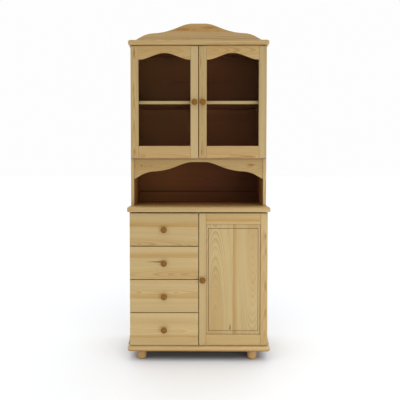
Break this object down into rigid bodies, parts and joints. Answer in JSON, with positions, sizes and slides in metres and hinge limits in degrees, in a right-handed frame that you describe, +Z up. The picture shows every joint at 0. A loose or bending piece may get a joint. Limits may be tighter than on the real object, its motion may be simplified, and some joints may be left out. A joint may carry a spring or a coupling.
{
  "type": "pantry cabinet",
  "caption": "Tall pine pantry cabinet: drawers beside a raised-panel door, an open niche with a waved apron, glazed arched doors and a waved crest on top.",
  "frame": {"origin": "on the floor, under the middle of the cabinet's own box, knobs included", "axes": "+Z up, +X to the right as one faces the cabinet, the front faces -Y"},
  "size_m": [0.802, 0.373, 1.914],
  "materials": {
    "pine": "clear lacquer on pine, satin",
    "pine_panel": "clear lacquer on edge-glued pine boards, satin",
    "turned_pine": "amber lacquer on turned pine",
    "stained_back": "dark brown stain on thin back panels, matt",
    "inner_wood": "raw planed pine",
    "glass": "clear float glass",
    "brass": "plain brass bush",
    "steel": "plain steel"
  },
  "bodies": {
    "cabinet": {"apron": "pine", "base_board": "pine", "carcass_dowels": "inner_wood", "cornice": "pine", "crest": "pine", "drawer_runners": "inner_wood", "feet_back": "turned_pine", "feet_front": "turned_pine", "lower_back_panel": "stained_back", "lower_divider": "inner_wood", "lower_shelf": "inner_wood", "lower_side_left": "pine", "lower_side_right": "pine", "pivot_brackets": "steel", "pivot_pins": "steel", "shelf_pins": "steel", "side_skirt_left": "pine", "side_skirt_right": "pine", "upper_back_panel": "stained_back", "upper_back_rail": "stained_back", "upper_floor": "pine", "upper_shelf": "pine", "upper_side_left": "pine", "upper_side_right": "pine", "worktop": "pine"},
    "drawer_1": {"drawer_1_bottom": "inner_wood", "drawer_1_front": "pine", "drawer_1_knob": "turned_pine", "drawer_1_walls": "inner_wood"},
    "drawer_2": {"drawer_2_bottom": "inner_wood", "drawer_2_front": "pine", "drawer_2_knob": "turned_pine", "drawer_2_walls": "inner_wood"},
    "drawer_3": {"drawer_3_bottom": "inner_wood", "drawer_3_front": "pine", "drawer_3_knob": "turned_pine", "drawer_3_walls": "inner_wood"},
    "drawer_4": {"drawer_4_bottom": "inner_wood", "drawer_4_front": "pine", "drawer_4_knob": "turned_pine", "drawer_4_walls": "inner_wood"},
    "lower_door": {"lower_door_bushes": "brass", "lower_door_knob": "turned_pine", "lower_door_panel": "pine_panel", "lower_door_rails": "pine", "lower_door_stiles": "pine"},
    "upper_door_left": {"upper_door_left_beads": "pine", "upper_door_left_bushes": "brass", "upper_door_left_glass": "glass", "upper_door_left_knob": "turned_pine", "upper_door_left_rails": "pine", "upper_door_left_stiles": "pine"},
    "upper_door_right": {"upper_door_right_beads": "pine", "upper_door_right_bushes": "brass", "upper_door_right_glass": "glass", "upper_door_right_knob": "turned_pine", "upper_door_right_rails": "pine", "upper_door_right_stiles": "pine"}
  },
  "joints": [
    {"name": "drawer_1_slide", "type": "slide", "parent": "cabinet", "child": "drawer_1", "axis": [0, -1, 0], "range_m": [0, 0.24]},
    {"name": "drawer_2_slide", "type": "slide", "parent": "cabinet", "child": "drawer_2", "axis": [0, -1, 0], "range_m": [0, 0.24]},
    {"name": "drawer_3_slide", "type": "slide", "parent": "cabinet", "child": "drawer_3", "axis": [0, -1, 0], "range_m": [0, 0.24]},
    {"name": "drawer_4_slide", "type": "slide", "parent": "cabinet", "child": "drawer_4", "axis": [0, -1, 0], "range_m": [0, 0.24]},
    {"name": "lower_door_hinge", "type": "hinge", "parent": "cabinet", "child": "lower_door", "pos_m": [0.3815, -0.149, 0.087], "axis": [0, 0, 1], "range_deg": [0, 110]},
    {"name": "upper_door_left_hinge", "type": "hinge", "parent": "cabinet", "child": "upper_door_left", "pos_m": [-0.3815, -0.0925, 1.143], "axis": [0, 0, -1], "range_deg": [0, 110]},
    {"name": "upper_door_right_hinge", "type": "hinge", "parent": "cabinet", "child": "upper_door_right", "pos_m": [0.3815, -0.0925, 1.143], "axis": [0, 0, 1], "range_deg": [0, 110]}
  ]
}
